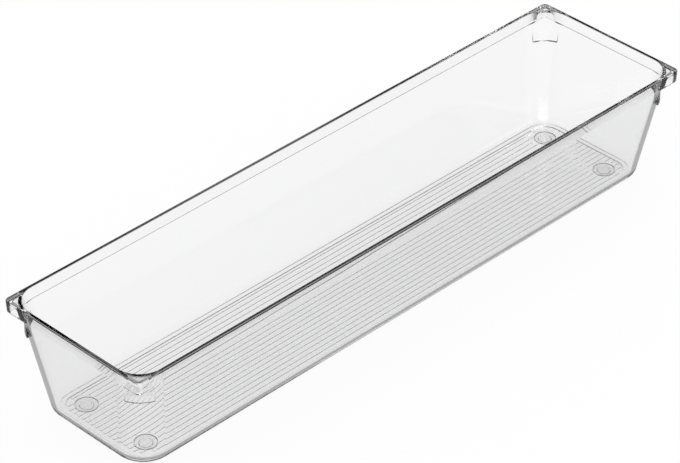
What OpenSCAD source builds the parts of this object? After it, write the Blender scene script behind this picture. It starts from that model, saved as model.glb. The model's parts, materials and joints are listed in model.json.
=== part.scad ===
// Clear drawer organizer bin: one moulded tray with a square rim, open ears at its rounded corners,
// stacking pads, a ribbed floor panel and four soft feet.
// The origin is the middle of the footprint, on the surface that the feet stand on.

/* [Tray] */
// Length over the rim
length = 304.8; // [150:0.1:400]
// Width over the rim
width = 76.2; // [70:0.1:200]
// Height from the underside of the floor to the top of the rim
height = 50.8; // [40:0.1:90]
// Thickness of the walls
wall = 1.7; // [1.2:0.1:2.4]
// Thickness of the floor
floor_t = 1.8; // [1.4:0.1:3]
// Slope of the long walls from upright, in degrees
side_slope = 9.3; // [5:0.1:11]
// Slope of the end walls from upright, in degrees
end_slope = 8.2; // [5:0.1:11]
// Outside radius of the rounded wall corners, the same at every height
corner_r = 12.8; // [11:0.1:18]
// Radius of the outside edge around the base
base_fillet = 4.4; // [2:0.1:6]
// Radius of the inside edge around the floor
floor_fillet = 2.6; // [1:0.1:5]

/* [Rim] */
// Height of the band around the rim
rim_h = 6.1; // [4:0.1:9]
// How far the band stands out from the wall at the band's lower edge
rim_step = 0.9; // [0.5:0.05:1.5]
// Outside corner radius of the band
rim_corner_r = 2.2; // [2:0.1:4]
// Thickness of the band where it hangs free as a skirt around an ear
skirt = 1.8; // [1.2:0.1:1.9]
// Thickness of the flat plate on top of an ear
ear_t = 1.6; // [1:0.1:2.5]

/* [Stacking pads] */
// Depth of a pad's lower edge below the top of the rim
pad_depth = 14.2; // [12:0.1:18]
// Height of the slope that leads from a pad's lower edge back to the wall
pad_lead = 3.2; // [1.5:0.1:5]
// How far a pad stands out from the wall at its lower edge
pad_proud = 0.85; // [0.5:0.05:1.2]
// Angle that a pad takes of the rounded corner, in degrees
pad_span = 43; // [20:1:60]

/* [Floor ribs] */
// Distance between the ribs' centre lines
rib_pitch = 2.54; // [1.8:0.01:5]
// Width of a rib
rib_w = 1.1; // [0.6:0.05:1.6]
// Height of a rib above the grooves beside it
rib_h = 0.4; // [0.2:0.05:0.6]
// How far the ribs' tops lie below the plain floor around the panel
rib_sink = 0.15; // [0.1:0.05:0.3]
// Plain margin between the floor's fillet and the ribbed panel
panel_margin = 2.2; // [1:0.1:5]
// Corner radius of the ribbed panel
panel_r = 7; // [4:0.1:10]
// Groove left between the ribs' ends and the panel's edge
panel_groove = 0.5; // [0.3:0.05:1]

/* [Feet] */
// Diameter of a foot
foot_d = 9.3; // [7:0.1:10]
// Diameter of the flat patch that a foot stands on
foot_flat_d = 5.1; // [3:0.1:6.5]
// How far the feet stand below the floor's underside
foot_proud = 0.8; // [0.6:0.05:1.5]
// How deep a foot sits in its seat
foot_seat = 0.4; // [0.2:0.05:0.6]
// Clearance around a foot in its seat
foot_gap = 0.15; // [0.1:0.05:0.3]
// Diameter of the plain round island in the ribs over a foot
island_d = 10.4; // [10:0.1:12]
// Distance of a foot's centre from the end of the rim
foot_from_end = 21.4; // [21:0.1:40]
// Distance of a foot's centre from the side of the rim
foot_from_side = 21.7; // [20:0.1:24]

/* [Hidden] */
$fn = 96;

half_l = length / 2;
half_w = width / 2;
base_z = foot_proud;
floor_z = base_z + floor_t;
top_z = base_z + height;

// Flat stretches that an arc is divided into, around a corner and up a fillet
corner_steps = 14;
fillet_steps = 6;
// Run of the cuts past the surface that they open
overrun = 1;
// Closest that the wall comes to the band's outer face behind the band, as a share of the band
hidden_wall_share = 0.1;

foot_x = half_l - foot_from_end;
foot_y = half_w - foot_from_side;

// Distance of the wall's outer face from the rim's outline at height z, on a wall of the given slope
function outer_inset(z, slope) = rim_step + tan(slope) * (top_z - rim_h - z);

// The same for the wall's inner face
function inner_inset(z, slope) = outer_inset(z, slope) + wall / cos(slope);

// How much further in a face lies at height z, on the fillet that joins it to the level z0
function fillet_inset(z, z0, slope, r) =
    let (up = z - z0)
    up >= r * (1 - sin(slope)) ? 0
    : r / cos(slope) - tan(slope) * (r - up) - sqrt(r * r - (r - up) * (r - up));

// Heights of the rings that follow a fillet, from the level z0 up
function fillet_heights(z0, r) =
    let (last = 90 - min(side_slope, end_slope))
    [for (i = [0:fillet_steps]) z0 + r * (1 - cos(last * i / fillet_steps))];

// One closed ring of points: a rectangle with round corners, at height z
function ring(hx, hy, r, z) = [
    for (quarter = [0:3], i = [0:corner_steps])
        let (
            a = 90 * (quarter + i / corner_steps),
            right = quarter == 0 || quarter == 3 ? 1 : -1,
            back = quarter < 2 ? 1 : -1
        )
        [right * (hx - r) + r * cos(a), back * (hy - r) + r * sin(a), z]
];

// Ring on the wall's outer face, or on its fillet
function outer_ring(z) =
    let (
        dx = fillet_inset(z, base_z, end_slope, base_fillet),
        dy = fillet_inset(z, base_z, side_slope, base_fillet)
    )
    ring(
        half_l - outer_inset(z, end_slope) - dx,
        half_w - outer_inset(z, side_slope) - dy,
        corner_r - dy,
        z
    );

// Ring on the wall's inner face, or on its fillet
function inner_ring(z) =
    let (
        dx = fillet_inset(z, floor_z, end_slope, floor_fillet),
        dy = fillet_inset(z, floor_z, side_slope, floor_fillet)
    )
    ring(
        half_l - inner_inset(z, end_slope) - dx,
        half_w - inner_inset(z, side_slope) - dy,
        corner_r - wall - dy,
        z
    );

// Top ring of the wall's outer face, halfway up the ear plates and kept inside the band
function hidden_ring() =
    let (z = top_z - ear_t / 2, least = skirt * hidden_wall_share)
    ring(
        half_l - max(outer_inset(z, end_slope), least),
        half_w - max(outer_inset(z, side_slope), least),
        corner_r,
        z
    );

// Solid through a stack of rings, the lowest ring first
module stack(rings) {
    n = len(rings[0]);
    top = n * (len(rings) - 1);
    polyhedron(
        points = [for (r = rings) each r],
        faces = [
            [for (i = [0:n - 1]) i],
            for (k = [0:len(rings) - 2], i = [0:n - 1])
                let (a = k * n + i, b = k * n + (i + 1) % n)
                [a, a + n, b + n, b],
            [for (i = [n - 1:-1:0]) top + i]
        ]
    );
}

// Outline of a rectangle with round corners, given by its half lengths
module round_rect(hx, hy, r) {
    square([2 * hx, 2 * (hy - r)], center = true);
    square([2 * (hx - r), 2 * hy], center = true);
    for (x = [-1, 1], y = [-1, 1])
        translate([x * (hx - r), y * (hy - r)])
            circle(r = r);
}

// Body of the tray before it is hollowed, up to the ear plates
module outer_body() {
    heights = fillet_heights(base_z, base_fillet);
    stack(concat(
        [for (z = heights) outer_ring(z)],
        [outer_ring(top_z - rim_h)],
        [hidden_ring()]
    ));
}

// Space inside the tray, open at the top
module inside() {
    heights = fillet_heights(floor_z, floor_fillet);
    stack(concat(
        [for (z = heights) inner_ring(z)],
        [inner_ring(top_z + overrun)]
    ));
}

// Square band around the rim: over each rounded corner it stands free as two skirts under a plate
module rim_band() {
    translate([0, 0, top_z - rim_h])
        linear_extrude(rim_h)
            difference() {
                round_rect(half_l, half_w, rim_corner_r);
                round_rect(half_l - skirt, half_w - skirt, rim_corner_r - skirt);
            }
    translate([0, 0, top_z - ear_t])
        linear_extrude(ear_t)
            round_rect(half_l - skirt / 2, half_w - skirt / 2, rim_corner_r - skirt / 2);
}

// Pad on a rounded corner, upright where the wall slopes in, that a tray below would carry.
// It comes out of the wall above its lower edge, and slopes back into it below.
module stacking_pad() {
    z = top_z - pad_depth;
    corner_slope = (tan(side_slope) + tan(end_slope)) / sqrt(2);
    rise = pad_proud / corner_slope;
    lead_run = pad_proud + corner_slope * pad_lead;
    root = wall / 2;
    translate([
        half_l - outer_inset(z, end_slope) - corner_r,
        half_w - outer_inset(z, side_slope) - corner_r,
        z
    ])
        rotate([0, 0, 45 - pad_span / 2])
            rotate_extrude(angle = pad_span)
                polygon([
                    [corner_r + pad_proud - lead_run - root, -pad_lead * (1 + root / lead_run)],
                    [corner_r + pad_proud, 0],
                    [corner_r + pad_proud, rise + wall],
                    [corner_r + pad_proud - root, rise + wall]
                ]);
}

// Copies a child to all four corners by reflection
module at_corners() {
    for (x = [0, 1], y = [0, 1])
        mirror([x, 0, 0])
            mirror([0, y, 0])
                children();
}

// Half lengths of the flat floor and of the ribbed panel on it
fillet_reach_x = floor_fillet * tan((90 - end_slope) / 2);
fillet_reach_y = floor_fillet * tan((90 - side_slope) / 2);
panel_hx = half_l - inner_inset(floor_z, end_slope) - fillet_reach_x - panel_margin;
panel_hy = half_w - inner_inset(floor_z, side_slope) - fillet_reach_y - panel_margin;

// Outline of the ribbed panel, without the plain islands over the feet
module panel_outline() {
    difference() {
        round_rect(panel_hx, panel_hy, panel_r);
        for (x = [-1, 1], y = [-1, 1])
            translate([x * foot_x, y * foot_y])
                circle(d = island_d);
    }
}

// Outline of the ribs, the middle one on the tray's centre line
module rib_outlines() {
    last = floor((panel_hy - panel_groove - rib_w / 2) / rib_pitch);
    intersection() {
        round_rect(panel_hx - panel_groove, panel_hy - panel_groove, panel_r - panel_groove);
        for (k = [-last:last])
            translate([0, k * rib_pitch])
                square([length, rib_w], center = true);
    }
}

// What is cut from the floor to leave the ribs
module panel_cut() {
    translate([0, 0, floor_z - rib_sink])
        linear_extrude(rib_sink + overrun)
            panel_outline();
    translate([0, 0, floor_z - rib_sink - rib_h])
        linear_extrude(rib_h + rib_sink / 2)
            difference() {
                panel_outline();
                rib_outlines();
            }
}

// The tray, one moulded piece of clear plastic
module bin() {
    color([0.86, 0.89, 0.9, 0.45])
        difference() {
            union() {
                outer_body();
                rim_band();
                at_corners()
                    stacking_pad();
            }
            inside();
            panel_cut();
            for (x = [-1, 1], y = [-1, 1])
                translate([x * foot_x, y * foot_y, base_z - overrun])
                    cylinder(d = foot_d + 2 * foot_gap, h = overrun + foot_seat);
        }
}

// A soft foot: a low dome with a flat patch below, let into the floor's underside
module foot(x, y) {
    dome_h = foot_proud;
    dome_w = (foot_d - foot_flat_d) / 2;
    dome_steps = 5;
    color([0.8, 0.82, 0.83, 0.7])
        translate([x * foot_x, y * foot_y, 0])
            rotate_extrude()
                polygon([
                    [0, 0],
                    for (i = [0:dome_steps])
                        let (a = 90 * i / dome_steps)
                        [foot_flat_d / 2 + dome_w * sin(a), dome_h * (1 - cos(a))],
                    [foot_d / 2, base_z + foot_seat],
                    [0, base_z + foot_seat]
                ]);
}

module foot_front_left() {
    foot(-1, -1);
}

module foot_front_right() {
    foot(1, -1);
}

module foot_back_left() {
    foot(-1, 1);
}

module foot_back_right() {
    foot(1, 1);
}

bin();
foot_front_left();
foot_front_right();
foot_back_left();
foot_back_right();
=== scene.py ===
"""Clear drawer organizer bin: a moulded tray of clear plastic on four soft feet, on a white floor."""
import json
import math

import bmesh
import bpy
from mathutils import Matrix, Vector
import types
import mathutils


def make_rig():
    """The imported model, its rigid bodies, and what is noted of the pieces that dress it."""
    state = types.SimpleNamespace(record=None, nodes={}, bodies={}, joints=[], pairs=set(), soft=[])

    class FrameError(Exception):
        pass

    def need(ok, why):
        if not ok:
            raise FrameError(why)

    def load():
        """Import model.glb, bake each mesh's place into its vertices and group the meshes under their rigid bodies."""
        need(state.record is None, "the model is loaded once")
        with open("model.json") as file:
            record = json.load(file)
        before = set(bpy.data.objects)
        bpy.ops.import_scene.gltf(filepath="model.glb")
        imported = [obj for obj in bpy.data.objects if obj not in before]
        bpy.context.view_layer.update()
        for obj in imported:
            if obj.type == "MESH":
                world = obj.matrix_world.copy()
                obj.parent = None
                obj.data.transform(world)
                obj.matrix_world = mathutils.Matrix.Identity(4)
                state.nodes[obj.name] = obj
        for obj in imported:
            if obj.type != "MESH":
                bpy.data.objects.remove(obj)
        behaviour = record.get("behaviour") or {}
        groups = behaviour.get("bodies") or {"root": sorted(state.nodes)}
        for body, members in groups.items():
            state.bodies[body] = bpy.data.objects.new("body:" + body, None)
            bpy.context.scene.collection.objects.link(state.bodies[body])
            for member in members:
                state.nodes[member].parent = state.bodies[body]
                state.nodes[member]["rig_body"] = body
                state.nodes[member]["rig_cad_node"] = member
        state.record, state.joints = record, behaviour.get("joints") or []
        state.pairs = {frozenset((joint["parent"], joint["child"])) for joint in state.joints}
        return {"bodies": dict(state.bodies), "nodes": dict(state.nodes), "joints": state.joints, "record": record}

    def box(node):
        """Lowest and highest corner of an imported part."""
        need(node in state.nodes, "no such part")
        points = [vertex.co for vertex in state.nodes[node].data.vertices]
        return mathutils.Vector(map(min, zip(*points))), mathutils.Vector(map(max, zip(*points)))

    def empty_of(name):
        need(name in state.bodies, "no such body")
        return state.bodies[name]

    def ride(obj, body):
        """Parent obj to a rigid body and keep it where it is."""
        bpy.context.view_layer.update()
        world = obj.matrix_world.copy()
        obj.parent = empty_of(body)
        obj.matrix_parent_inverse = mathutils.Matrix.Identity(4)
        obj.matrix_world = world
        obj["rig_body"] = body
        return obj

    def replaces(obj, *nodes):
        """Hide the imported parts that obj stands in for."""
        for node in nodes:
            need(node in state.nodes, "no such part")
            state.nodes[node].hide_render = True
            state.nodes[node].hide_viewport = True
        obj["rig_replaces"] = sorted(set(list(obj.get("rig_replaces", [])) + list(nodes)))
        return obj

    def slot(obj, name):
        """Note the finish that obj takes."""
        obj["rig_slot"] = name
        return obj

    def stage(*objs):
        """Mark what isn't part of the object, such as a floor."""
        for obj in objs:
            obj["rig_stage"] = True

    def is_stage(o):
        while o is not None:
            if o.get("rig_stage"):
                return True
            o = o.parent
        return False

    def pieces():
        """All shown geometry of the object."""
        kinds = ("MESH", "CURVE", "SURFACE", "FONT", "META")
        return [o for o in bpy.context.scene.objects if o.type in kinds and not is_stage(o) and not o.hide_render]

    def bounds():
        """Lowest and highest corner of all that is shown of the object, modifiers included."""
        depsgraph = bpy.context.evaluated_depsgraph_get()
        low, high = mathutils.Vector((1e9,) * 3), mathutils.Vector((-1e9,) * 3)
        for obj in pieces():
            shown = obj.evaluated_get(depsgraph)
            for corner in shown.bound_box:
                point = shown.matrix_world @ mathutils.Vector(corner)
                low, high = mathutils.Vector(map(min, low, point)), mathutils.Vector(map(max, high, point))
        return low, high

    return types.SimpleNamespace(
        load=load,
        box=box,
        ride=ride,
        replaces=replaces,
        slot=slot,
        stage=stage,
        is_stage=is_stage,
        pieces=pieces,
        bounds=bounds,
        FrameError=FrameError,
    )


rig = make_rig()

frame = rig.load()
cad_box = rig.bounds()

# Tray, in millimetres and degrees, with its outer size from the frame
MM = 0.001
bin_low, bin_high = (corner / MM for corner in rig.box("bin"))
HALF_L = bin_high.x
HALF_W = bin_high.y
TOP_Z = bin_high.z
BASE_Z = bin_low.z
WALL = 1.7
FLOOR_T = 1.8
FLOOR_Z = BASE_Z + FLOOR_T
SIDE_SLOPE = math.radians(9.3)
END_SLOPE = math.radians(8.2)
CORNER_R = 12.8
BASE_FILLET = 3.7
FLOOR_FILLET = 3.0

# Rim band round the top: a skirt under flat corner ears, hollow between skirt and wall
RIM_H = 5.8
RIM_STEP = 0.9
RIM_CORNER_R = 2.2
RIM_CORNER_MIN_R = 0.2
RIM_DRAFT = 0.25
RIM_EDGE_R = 0.35
RIM_OUTER_R = 0.75
SKIRT = 2.0
SKIRT_EDGE_R = 0.75
HOLLOW_CORNER_R = 1.3
EAR_T = 1.6

# Stacking pads on the outside of the corners
PAD_DEPTH = 14.2
PAD_LEAD = 0.1
PAD_PROUD = 0.95
PAD_SPAN = math.radians(50)

# Ribbed panel in the floor, with its stepped border and the round islands over the feet
RIB_PITCH = 2.54
RIB_W = 1.14
RIB_TOP_W = 1.06
RIB_H = 0.2
RIB_ROOT = 0.3
PANEL_MARGIN = 1.85
PANEL_R = 7.0
PANEL_GROOVE = 0.5
PANEL_DEPTH = 0.44
PANEL_EDGE = 0.2
BORDER_DEPTH = 0.28
ISLAND_D = 10.4

# Feet: a flange in a seat under the floor, and a button that the tray stands on
FOOT_D = 9.3
FOOT_FLAT_D = 5.1
FOOT_SEAT = 0.4
FOOT_GAP = 0.15
FOOT_TOP_GAP = 0.03
FOOT_FLANGE_Z = 0.42
FOOT_EDGE_R = 0.18
FOOT_NECK = 0.12

# Fineness and shading of the meshes, and how far a cutting shape runs past what it cuts
CORNER_STEPS = 40
RIM_CORNER_STEPS = 12
FILLET_STEPS = 14
WALL_STEPS = 12
EDGE_STEPS = 7
PAD_STEPS = 24
PANEL_STEPS = 24
SEAT_STEPS = 96
FOOT_STEPS = 72
FOOT_ARC_STEPS = 8
OVERRUN = 1.0
SHARP_ANGLE = 14
FOOT_SHARP_ANGLE = 40
LARGE_FACES_LEAD = 100

# Plastic of the tray and of the feet; bump heights are in metres
PLASTIC_IOR = 1.545
CLEAREST = (1.0, 1.0, 1.0, 1)
DENSEST = (0.992, 0.994, 0.995, 1)
FLOW_SCALE = 30.0
FLOW_STRETCH = 0.35
FLOW_DETAIL = 2.0
FLOW_HEIGHT = 0.00003
PLASTIC_ROUGH = (0.0, 0.006)
FOOT_IOR = 1.45
SOFT_CLEAREST = (1.0, 1.0, 1.0, 1)
SOFT_DENSEST = (0.96, 0.96, 0.955, 1)
GRAIN_SCALE = 1400.0
GRAIN_STRETCH = 1.0
GRAIN_DETAIL = 3.0
GRAIN_HEIGHT = 0.000004
SOFT_ROUGH = (0.02, 0.1)
NOISE_LOW = 0.3
NOISE_HIGH = 0.7

# Studio: what straight light sees is white, and what mirrored light sees is these shares of white
WHITE = (1.0, 1.0, 1.0, 1)
FLOOR_HALF = 4.0
FLOOR_DROP = 0.00005
WHITE_SHARE = 0.95
INSIDE_MIRROR = 0.42
OUTSIDE_MIRROR = 0.56
MIRROR_KEEPS = 0.93
SKY_LEVEL = 1.0
SKY_MIRRORED = 0.0
CARD_AZ = -35.0
CARD_SPREAD = 24.0
CARD_LEVEL = 2.5

# Camera, solved from the photo: angles in degrees, distances in millimetres from the rim's middle
CAM_AZ = -44.720
CAM_EL = 35.137
CAM_ROLL = -0.212
CAM_DIST = 1412.64
CAM_RIGHT = -6.792
CAM_UP = -21.0
FOCAL_PX = 3543.0
FRAME_W_PX = 680
SENSOR_MM = 36.0
CLIP_END_M = 50

# Render: light paths long enough for the many mirrorings inside clear plastic, and the pixel filter
BOUNCES = 96
GLOSSY_BOUNCES = 64
TRANSMISSION_BOUNCES = 64
FILTER_W = 1.6

# Sockets of the Mix node, which has its own pair for numbers and for colours
MIX_FACTOR = 0
MIX_NUMBER_A = 2
MIX_NUMBER_B = 3
MIX_NUMBER_OUT = 0
MIX_COLOR_A = 6
MIX_COLOR_B = 7
MIX_COLOR_OUT = 2


# Outlines and sections

def outer_inset(z, slope):
    """Distance of the wall's outer face from the rim's outline at height z."""
    return RIM_STEP + math.tan(slope) * (TOP_Z - RIM_H - z)


def inner_inset(z, slope):
    """The same for the wall's inner face."""
    return outer_inset(z, slope) + WALL / math.cos(slope)


def fillet_inset(z, z0, slope, r):
    """How much further in a face lies at height z, on the fillet that joins it to the level z0."""
    up = z - z0
    if up >= r * (1 - math.sin(slope)):
        return 0.0
    return r / math.cos(slope) - math.tan(slope) * (r - up) - math.sqrt(max(r * r - (r - up) ** 2, 0.0))


def fillet_heights(z0, r):
    """Heights of the rings that follow a fillet, from the level z0 up."""
    last = math.pi / 2 - min(SIDE_SLOPE, END_SLOPE)
    return [z0 + r * (1 - math.cos(last * i / FILLET_STEPS)) for i in range(FILLET_STEPS + 1)]


def floor_edge(half, slope):
    """Distance from the tray's middle to where the flat floor meets the fillet under a wall."""
    return half - inner_inset(FLOOR_Z, slope) - FLOOR_FILLET * math.tan((math.pi / 2 - slope) / 2)


PANEL_HX = floor_edge(HALF_L, END_SLOPE) - PANEL_MARGIN
PANEL_HY = floor_edge(HALF_W, SIDE_SLOPE) - PANEL_MARGIN


def quarter_round(steps):
    """Pairs of shares along a quarter circle, from (1, 0) to (0, 1): what is left, and what is gained."""
    for i in range(steps + 1):
        a = math.pi / 2 * i / steps
        yield 1 - math.sin(a), 1 - math.cos(a)


def arc(cx, cz, r, start, end):
    """Points of an arc in a turned section; angles in degrees from the outward direction."""
    points = []
    for i in range(FOOT_ARC_STEPS + 1):
        a = math.radians(start + (end - start) * i / FOOT_ARC_STEPS)
        points.append((cx + r * math.cos(a), cz + r * math.sin(a)))
    return points


def ring(hx, hy, r, z, steps=CORNER_STEPS):
    """One closed ring of points: a rectangle with round corners, at height z."""
    points = []
    for quarter in range(4):
        right = 1 if quarter in (0, 3) else -1
        back = 1 if quarter < 2 else -1
        for i in range(steps + 1):
            a = math.pi / 2 * (quarter + i / steps)
            points.append((right * (hx - r) + r * math.cos(a), back * (hy - r) + r * math.sin(a), z))
    return points


def circle(x, y, r, z, steps):
    """One closed ring of points on a circle, at height z."""
    points = []
    for i in range(steps):
        a = 2 * math.pi * i / steps
        points.append((x + r * math.cos(a), y + r * math.sin(a), z))
    return points


# Meshes

def mesh_object(name, points, faces):
    """A new object in the scene, from points in millimetres."""
    mesh = bpy.data.meshes.new(name)
    mesh.from_pydata(points, [], faces)
    mesh.validate()
    mesh.update()
    thing = bpy.data.objects.new(name, mesh)
    bpy.context.scene.collection.objects.link(thing)
    return thing


def loft(rows, n):
    """Faces of a prism through rows of n points each, with its two ends closed."""
    faces = [tuple(range(n - 1, -1, -1))]
    for k in range(rows - 1):
        for i in range(n):
            a, b = k * n + i, k * n + (i + 1) % n
            faces.append((a, b, b + n, a + n))
    last = n * (rows - 1)
    faces.append(tuple(last + i for i in range(n)))
    return faces


def stack(name, rings):
    """Closed solid through a stack of rings, the lowest ring first."""
    return mesh_object(name, [p for r in rings for p in r], loft(len(rings), len(rings[0])))


def cylinder(name, x, y, r, z0, z1):
    """An upright cylinder round (x, y)."""
    return stack(name, [circle(x, y, r, z, SEAT_STEPS) for z in (z0, z1)])


def join(name, parts):
    """One mesh object from several, which stay separate shells."""
    points, faces = [], []
    for part in parts:
        start = len(points)
        points += [tuple(v.co) for v in part.data.vertices]
        faces += [tuple(start + v for v in p.vertices) for p in part.data.polygons]
        bpy.data.objects.remove(part)
    return mesh_object(name, points, faces)


def face_outward(thing):
    """Turns the faces of each shell outward."""
    bm = bmesh.new()
    bm.from_mesh(thing.data)
    bmesh.ops.recalc_face_normals(bm, faces=bm.faces)
    bm.to_mesh(thing.data)
    bm.free()
    return thing


def boolean(body, tool, operation):
    """Joins tool to body or cuts it away, and deletes tool."""
    step = body.modifiers.new("step", "BOOLEAN")
    step.operation = operation
    step.solver = "MANIFOLD"
    step.object = tool
    depsgraph = bpy.context.evaluated_depsgraph_get()
    result = bpy.data.meshes.new_from_object(body.evaluated_get(depsgraph))
    body.modifiers.clear()
    old = body.data
    body.data = result
    bpy.data.meshes.remove(old)
    bpy.data.objects.remove(tool)
    return body


def finish_mesh(thing, name, angle):
    """Turns millimetres to metres, and shades the mesh smooth with the edges over the angle kept sharp."""
    thing.name = name
    thing.data.name = name
    thing.data.transform(Matrix.Scale(MM, 4))
    thing.data.polygons.foreach_set("use_smooth", [True] * len(thing.data.polygons))
    thing.data.set_sharp_from_angle(angle=math.radians(angle))
    weigh = thing.modifiers.new("weigh", "WEIGHTED_NORMAL")
    weigh.keep_sharp = True
    weigh.weight = LARGE_FACES_LEAD
    return thing


# Walls and floor

def outer_ring(z):
    """Outline of the tray's outside at height z."""
    dx = fillet_inset(z, BASE_Z, END_SLOPE, BASE_FILLET)
    dy = fillet_inset(z, BASE_Z, SIDE_SLOPE, BASE_FILLET)
    return ring(
        HALF_L - outer_inset(z, END_SLOPE) - dx,
        HALF_W - outer_inset(z, SIDE_SLOPE) - dy,
        CORNER_R - dy,
        z,
    )


def inner_ring(z, flare=0.0):
    """Outline of the tray's inside at height z, wider all round by flare."""
    dx = fillet_inset(z, FLOOR_Z, END_SLOPE, FLOOR_FILLET) - flare
    dy = fillet_inset(z, FLOOR_Z, SIDE_SLOPE, FLOOR_FILLET) - flare
    return ring(
        HALF_L - inner_inset(z, END_SLOPE) - dx,
        HALF_W - inner_inset(z, SIDE_SLOPE) - dy,
        CORNER_R - WALL - dy,
        z,
    )


def outer_body():
    """Body of the tray before it is hollowed, up into the ear plates."""
    heights = fillet_heights(BASE_Z, BASE_FILLET)
    low, high = heights[-1], TOP_Z - RIM_H
    heights += [low + (high - low) * i / WALL_STEPS for i in range(1, WALL_STEPS + 1)]
    heights.append(TOP_Z - EAR_T / 2)
    return stack("outer_body", [outer_ring(z) for z in heights])


def inside():
    """Space inside the tray, which widens at the rim's rounded inner edge."""
    rings = [inner_ring(z) for z in fillet_heights(FLOOR_Z, FLOOR_FILLET)]
    for down, out in quarter_round(EDGE_STEPS):
        rings.append(inner_ring(TOP_Z - RIM_EDGE_R * down, RIM_EDGE_R * out))
    rings.append(inner_ring(TOP_Z + OVERRUN, RIM_EDGE_R))
    return stack("inside", rings)


# Rim

def band_ring(inset, z):
    """Outline of the rim band, inset from the tray's box."""
    r = max(RIM_CORNER_R - inset, RIM_CORNER_MIN_R)
    return ring(HALF_L - inset, HALF_W - inset, r, z, RIM_CORNER_STEPS)


def hollow_ring(inset, z):
    """Outline of the hollow in the rim band."""
    return ring(HALF_L - inset, HALF_W - inset, HOLLOW_CORNER_R, z, RIM_CORNER_STEPS)


def rim_hollow():
    """Space between the rim's skirt and the wall, below the ear plates, with rounded edges."""
    low, high, r = TOP_Z - RIM_H, TOP_Z - EAR_T, SKIRT_EDGE_R
    rings = [hollow_ring(RIM_DRAFT + r, z) for z in (low - OVERRUN, low)]
    for out, up in quarter_round(EDGE_STEPS):
        rings.append(hollow_ring(SKIRT - r * out, low + r * up))
    for down, further in quarter_round(EDGE_STEPS):
        rings.append(hollow_ring(SKIRT + r * further, high - r * down))
    return stack("hollow", rings)


def rim_band():
    """Square band round the rim, with rounded edges."""
    low = TOP_Z - RIM_H
    rings = []
    for further, up in quarter_round(EDGE_STEPS):
        rings.append(band_ring(RIM_DRAFT + SKIRT_EDGE_R * further, low + SKIRT_EDGE_R * up))
    for down, further in quarter_round(2 * EDGE_STEPS):
        rings.append(band_ring(RIM_OUTER_R * further, TOP_Z - RIM_OUTER_R * down))
    return boolean(stack("rim_band", rings), rim_hollow(), "DIFFERENCE")


# Stacking pads

def pad_section():
    """Section of a pad, as distances from the corner's middle and heights above the pad's lower edge."""
    corner_slope = (math.tan(SIDE_SLOPE) + math.tan(END_SLOPE)) / math.sqrt(2)
    rise = PAD_PROUD / corner_slope
    lead_run = PAD_PROUD + corner_slope * PAD_LEAD
    root = WALL / 2
    face_r = CORNER_R + PAD_PROUD
    return [
        (face_r - lead_run - root, -PAD_LEAD * (1 + root / lead_run)),
        (face_r, 0.0),
        (face_r, rise + WALL),
        (face_r - root, rise + WALL),
    ]


def stacking_pads():
    """The four pads on the outside of the rounded corners."""
    z0 = TOP_Z - PAD_DEPTH
    cx = HALF_L - outer_inset(z0, END_SLOPE) - CORNER_R
    cy = HALF_W - outer_inset(z0, SIDE_SLOPE) - CORNER_R
    section = pad_section()
    pads = []
    for sx in (1, -1):
        for sy in (1, -1):
            points = []
            for k in range(PAD_STEPS + 1):
                a = math.pi / 4 + PAD_SPAN * (k / PAD_STEPS - 0.5)
                for r, z in section:
                    points.append((sx * (cx + r * math.cos(a)), sy * (cy + r * math.sin(a)), z0 + z))
            pads.append(mesh_object("pad", points, loft(PAD_STEPS + 1, len(section))))
    return face_outward(join("pads", pads))


# Floor panel and feet

def feet_places():
    """Name and middle of each foot, from the frame."""
    places = {}
    for name in sorted(frame["nodes"]):
        if name.startswith("foot"):
            low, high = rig.box(name)
            places[name] = ((low.x + high.x) / 2 / MM, (low.y + high.y) / 2 / MM)
    return places


def sloped_recess(name, out, depth, slope):
    """A recess in the floor, out beyond the panel's outline, whose sides end in a slope of 45 degrees."""
    levels = [(out, slope - depth), (out, OVERRUN)]
    if slope:
        levels.insert(0, (out - slope, -depth))
    rings = []
    for offset, z in levels:
        rings.append(ring(PANEL_HX + offset, PANEL_HY + offset, PANEL_R + offset, FLOOR_Z + z, PANEL_STEPS))
    return stack(name, rings)


def border_recess():
    """The low step down from the rounded foot of the walls to the border of the ribbed panel."""
    return sloped_recess("border", PANEL_MARGIN, BORDER_DEPTH, 0.0)


def panel_recess(feet):
    """The shallow recess in the floor that the ribs stand in, without the islands over the feet."""
    recess = sloped_recess("recess", 0.0, PANEL_DEPTH, PANEL_EDGE)
    low, high = FLOOR_Z - PANEL_DEPTH - OVERRUN, FLOOR_Z + 2 * OVERRUN
    islands = [cylinder("island", x, y, ISLAND_D / 2, low, high) for x, y in feet.values()]
    return boolean(recess, join("islands", islands), "DIFFERENCE")


def ribs():
    """The ribs on the recess's floor, each one ended by the panel's rounded outline."""
    hx, hy, r = PANEL_HX - PANEL_GROOVE, PANEL_HY - PANEL_GROOVE, PANEL_R - PANEL_GROOVE
    low = FLOOR_Z - PANEL_DEPTH
    foot, top = RIB_W / 2, RIB_TOP_W / 2
    left = [(-foot, -RIB_ROOT), (-foot, 0.0), (-top, RIB_H)]
    section = left + [(-u, v) for u, v in reversed(left)]
    last = int((hy - foot) / RIB_PITCH)
    parts = []
    for k in range(-last, last + 1):
        y = k * RIB_PITCH
        over = max(abs(y) + foot - (hy - r), 0.0)
        end = hx - r + math.sqrt(max(r * r - over * over, 0.0))
        points = [(x, y + u, low + v) for x in (-end, end) for u, v in section]
        parts.append(mesh_object("rib", points, loft(2, len(section))))
    return face_outward(join("ribs", parts))


def foot_seats(feet):
    """The round seats of the feet, under the floor."""
    low, high = BASE_Z - OVERRUN, BASE_Z + FOOT_SEAT
    r = FOOT_D / 2 + FOOT_GAP
    return join("seats", [cylinder("seat", x, y, r, low, high) for x, y in feet.values()])


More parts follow.
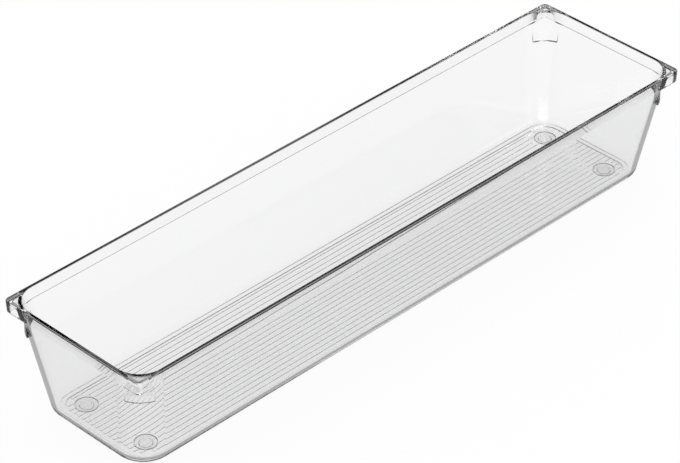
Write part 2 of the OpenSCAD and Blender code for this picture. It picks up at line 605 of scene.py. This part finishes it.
def make_tray(feet):
    """The whole tray, one closed mesh."""
    body = outer_body()
    boolean(body, rim_band(), "UNION")
    boolean(body, stacking_pads(), "UNION")
    boolean(body, inside(), "DIFFERENCE")
    boolean(body, border_recess(), "DIFFERENCE")
    boolean(body, panel_recess(feet), "DIFFERENCE")
    boolean(body, ribs(), "UNION")
    boolean(body, foot_seats(feet), "DIFFERENCE")
    return finish_mesh(body, "tray", SHARP_ANGLE)


def make_foot(name, x, y):
    """A soft foot: a thin flange in the tray's seat and a flat button below it, with rounded edges."""
    e = FOOT_EDGE_R
    top = BASE_Z + FOOT_SEAT - FOOT_TOP_GAP
    button, flange = FOOT_FLAT_D / 2, FOOT_D / 2
    section = arc(button, e, e, -90, 0)
    section += arc(button + e + FOOT_NECK + e, FOOT_FLANGE_Z - e, e, 180, 90)
    section += arc(flange - 2 * e, FOOT_FLANGE_Z + 2 * e, 2 * e, -90, 0)
    section += arc(flange - e, top - e, e, 0, 90)
    foot = stack(name, [circle(x, y, r, z, FOOT_STEPS) for r, z in section])
    return finish_mesh(foot, name, FOOT_SHARP_ANGLE)


# Materials

def new_material(name):
    """A new node material, with its nodes and links."""
    material = bpy.data.materials.new(name)
    material.use_nodes = True
    return material, material.node_tree.nodes, material.node_tree.links


def feed(links, socket, value):
    """Sets a socket to a number, or links another socket to it."""
    if isinstance(value, (int, float)):
        socket.default_value = value
    else:
        links.new(value, socket)


def math_node(nodes, links, operation, a, b):
    """A Math node; a and b are sockets or numbers."""
    node = nodes.new("ShaderNodeMath")
    node.operation = operation
    feed(links, node.inputs[0], a)
    feed(links, node.inputs[1], b)
    return node.outputs[0]


def mix_numbers(nodes, links, factor, a, b):
    """A Mix node for plain numbers; each argument is a socket or a number."""
    node = nodes.new("ShaderNodeMix")
    feed(links, node.inputs[MIX_FACTOR], factor)
    feed(links, node.inputs[MIX_NUMBER_A], a)
    feed(links, node.inputs[MIX_NUMBER_B], b)
    return node.outputs[MIX_NUMBER_OUT]


def noise(nodes, links, stretch, scale, detail):
    """Noise in the object's own metres, drawn out along its length when stretch is below 1."""
    place = nodes.new("ShaderNodeTexCoord")
    mapping = nodes.new("ShaderNodeMapping")
    mapping.inputs["Scale"].default_value = (stretch, 1.0, 1.0)
    texture = nodes.new("ShaderNodeTexNoise")
    texture.inputs["Scale"].default_value = scale
    texture.inputs["Detail"].default_value = detail
    links.new(place.outputs["Object"], mapping.inputs["Vector"])
    links.new(mapping.outputs["Vector"], texture.inputs["Vector"])
    return texture.outputs["Fac"]


def vary(nodes, links, factor, shader, colors, rough, height):
    """Lets one noise drive a clear material's tint, roughness and surface height."""
    tint = nodes.new("ShaderNodeMix")
    tint.data_type = "RGBA"
    tint.inputs[MIX_COLOR_A].default_value, tint.inputs[MIX_COLOR_B].default_value = colors
    spread = nodes.new("ShaderNodeMapRange")
    spread.inputs["From Min"].default_value = NOISE_LOW
    spread.inputs["From Max"].default_value = NOISE_HIGH
    spread.inputs["To Min"].default_value, spread.inputs["To Max"].default_value = rough
    bump = nodes.new("ShaderNodeBump")
    bump.inputs["Distance"].default_value = height
    links.new(factor, tint.inputs[MIX_FACTOR])
    links.new(tint.outputs[MIX_COLOR_OUT], shader.inputs["Base Color"])
    links.new(factor, spread.inputs["Value"])
    links.new(spread.outputs["Result"], shader.inputs["Roughness"])
    links.new(factor, bump.inputs["Height"])
    links.new(bump.outputs["Normal"], shader.inputs["Normal"])


def clear_plastic():
    """Clear, colourless, hard plastic with the faint waves of the melt's flow along the tray."""
    material, nodes, links = new_material("clear_plastic")
    shader = nodes["Principled BSDF"]
    shader.inputs["IOR"].default_value = PLASTIC_IOR
    shader.inputs["Transmission Weight"].default_value = 1.0
    flow = noise(nodes, links, FLOW_STRETCH, FLOW_SCALE, FLOW_DETAIL)
    vary(nodes, links, flow, shader, (CLEAREST, DENSEST), PLASTIC_ROUGH, FLOW_HEIGHT)
    return material


def clear_soft():
    """Clear, soft plastic with a fine grain, a little frosted in places."""
    material, nodes, links = new_material("clear_soft")
    shader = nodes["Principled BSDF"]
    shader.inputs["IOR"].default_value = FOOT_IOR
    shader.inputs["Transmission Weight"].default_value = 1.0
    grain = noise(nodes, links, GRAIN_STRETCH, GRAIN_SCALE, GRAIN_DETAIL)
    vary(nodes, links, grain, shader, (SOFT_CLEAREST, SOFT_DENSEST), SOFT_ROUGH, GRAIN_HEIGHT)
    return material


# Studio

def mirrored(nodes, links, path):
    """1 for light that a surface has mirrored on its way, 0 for light that came straight or through."""
    return math_node(nodes, links, "MINIMUM", path.outputs["Glossy Depth"], 1.0)


def mirror_loss(nodes, links, path):
    """Share of the level that is left after the mirrorings that follow the first one."""
    again = math_node(nodes, links, "SUBTRACT", path.outputs["Glossy Depth"], mirrored(nodes, links, path))
    return math_node(nodes, links, "POWER", MIRROR_KEEPS, again)


def floor_glow(nodes, links, path, hidden):
    """Level of the floor's own light: white seen straight, a darker share of it in mirrorings."""
    within = math_node(nodes, links, "MINIMUM", path.outputs["Transmission Depth"], 1.0)
    first = mix_numbers(nodes, links, within, OUTSIDE_MIRROR, INSIDE_MIRROR)
    first = mix_numbers(nodes, links, hidden, 1.0, first)
    return math_node(nodes, links, "MULTIPLY", first, mirror_loss(nodes, links, path))


def floor_share(nodes, links, path, hidden):
    """Share of the floor's own light in what is seen; the rest is its shading, with the shadow."""
    glossy, through = path.outputs["Is Glossy Ray"], path.outputs["Is Transmission Ray"]
    seen = math_node(nodes, links, "MAXIMUM", glossy, through)
    seen = math_node(nodes, links, "MAXIMUM", path.outputs["Is Camera Ray"], seen)
    share = math_node(nodes, links, "MULTIPLY", seen, WHITE_SHARE)
    return math_node(nodes, links, "MAXIMUM", share, hidden)


def mix_shaders(nodes, links, factor, a, b):
    """A Mix Shader node between two shaders."""
    node = nodes.new("ShaderNodeMixShader")
    for socket, value in zip(node.inputs, (factor, a, b)):
        links.new(value, socket)
    return node.outputs[0]


def floor_material():
    """White to the camera and through the plastic, with a share of the floor's own shading and shadow.

    From below the floor is clear, so that the tray's underside can be looked at.
    """
    material, nodes, links = new_material("floor")
    nodes.remove(nodes["Principled BSDF"])
    path = nodes.new("ShaderNodeLightPath")
    hidden = mirrored(nodes, links, path)
    diffuse = nodes.new("ShaderNodeBsdfDiffuse")
    diffuse.inputs["Color"].default_value = WHITE
    glow = nodes.new("ShaderNodeEmission")
    links.new(floor_glow(nodes, links, path, hidden), glow.inputs["Strength"])
    share = floor_share(nodes, links, path, hidden)
    upper = mix_shaders(nodes, links, share, diffuse.outputs[0], glow.outputs[0])
    side = nodes.new("ShaderNodeNewGeometry")
    clear = nodes.new("ShaderNodeBsdfTransparent")
    both = mix_shaders(nodes, links, side.outputs["Backfacing"], upper, clear.outputs[0])
    links.new(both, nodes["Material Output"].inputs["Surface"])
    return material


def make_floor():
    """The plain white floor, just under the feet."""
    a, z = FLOOR_HALF, -FLOOR_DROP
    mesh = bpy.data.meshes.new("floor")
    mesh.from_pydata([(-a, -a, z), (a, -a, z), (a, a, z), (-a, a, z)], [], [(0, 1, 2, 3)])
    floor = bpy.data.objects.new("floor", mesh)
    bpy.context.scene.collection.objects.link(floor)
    mesh.materials.append(floor_material())
    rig.stage(floor)


def card_light(nodes, links):
    """Level of the sky in mirrorings: dark, but for a soft upright light card behind the camera."""
    place = nodes.new("ShaderNodeTexCoord")
    level = nodes.new("ShaderNodeVectorMath")
    level.operation = "MULTIPLY"
    level.inputs[1].default_value = (1, 1, 0)
    heading = nodes.new("ShaderNodeVectorMath")
    heading.operation = "NORMALIZE"
    nearness = nodes.new("ShaderNodeVectorMath")
    nearness.operation = "DOT_PRODUCT"
    az = math.radians(CARD_AZ)
    nearness.inputs[1].default_value = (math.sin(az), -math.cos(az), 0)
    card = nodes.new("ShaderNodeMapRange")
    card.interpolation_type = "SMOOTHSTEP"
    card.inputs["From Min"].default_value = math.cos(math.radians(CARD_SPREAD))
    card.inputs["From Max"].default_value = math.cos(math.radians(CARD_SPREAD / 2))
    card.inputs["To Min"].default_value = SKY_MIRRORED
    card.inputs["To Max"].default_value = CARD_LEVEL
    links.new(place.outputs["Generated"], level.inputs[0])
    links.new(level.outputs[0], heading.inputs[0])
    links.new(heading.outputs[0], nearness.inputs[0])
    links.new(nearness.outputs["Value"], card.inputs["Value"])
    return card.outputs["Result"]


def make_world():
    """Even white light; light that the plastic has mirrored up finds a dark studio with one light card."""
    world = bpy.data.worlds.new("studio")
    bpy.context.scene.world = world
    world.use_nodes = True
    nodes, links = world.node_tree.nodes, world.node_tree.links
    path = nodes.new("ShaderNodeLightPath")
    level = mix_numbers(nodes, links, mirrored(nodes, links, path), SKY_LEVEL, card_light(nodes, links))
    back = nodes["Background"]
    back.inputs["Color"].default_value = WHITE
    links.new(level, back.inputs["Strength"])


def make_camera():
    """The camera at the photo's place and angle."""
    az, el, roll = (math.radians(v) for v in (CAM_AZ, CAM_EL, CAM_ROLL))
    back = Vector((math.sin(az) * math.cos(el), -math.cos(az) * math.cos(el), math.sin(el)))
    right = Vector((math.cos(az), math.sin(az), 0))
    up = back.cross(right)
    right, up = right * math.cos(roll) + up * math.sin(roll), up * math.cos(roll) - right * math.sin(roll)
    place = (back * CAM_DIST + right * CAM_RIGHT + up * CAM_UP + Vector((0, 0, TOP_Z))) * MM
    data = bpy.data.cameras.new("camera")
    data.sensor_width = SENSOR_MM
    data.lens = FOCAL_PX / FRAME_W_PX * SENSOR_MM
    data.clip_end = CLIP_END_M
    camera = bpy.data.objects.new("camera", data)
    camera.matrix_world = Matrix((right, up, back)).transposed().to_4x4()
    camera.location = place
    bpy.context.scene.collection.objects.link(camera)
    bpy.context.scene.camera = camera


def set_render():
    """View transform, and light paths that follow the many mirrorings inside the plastic."""
    bpy.context.scene.view_settings.view_transform = "Standard"
    cycles = bpy.context.scene.cycles
    cycles.use_denoising = True
    cycles.max_bounces = BOUNCES
    cycles.glossy_bounces = GLOSSY_BOUNCES
    cycles.transmission_bounces = TRANSMISSION_BOUNCES
    cycles.filter_width = FILTER_W
    cycles.caustics_refractive = False
    cycles.caustics_reflective = False


def numbers(value):
    """A box as plain nested lists of numbers."""
    if isinstance(value, (int, float)):
        return value
    return [numbers(v) for v in value]


make_camera()
make_world()
make_floor()

feet = feet_places()
tray = make_tray(feet)
tray.data.materials.clear()
tray.data.materials.append(clear_plastic())
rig.ride(tray, "root")
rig.replaces(tray, "bin")
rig.slot(tray, "clear_plastic")

soft = clear_soft()
for node, (x, y) in feet.items():
    foot = make_foot("soft_" + node, x, y)
    foot.data.materials.append(soft)
    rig.ride(foot, "root")
    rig.replaces(foot, node)
    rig.slot(foot, "clear_soft")

set_render()

json.dump([numbers(cad_box), numbers(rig.bounds())], open("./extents.json", "w"))
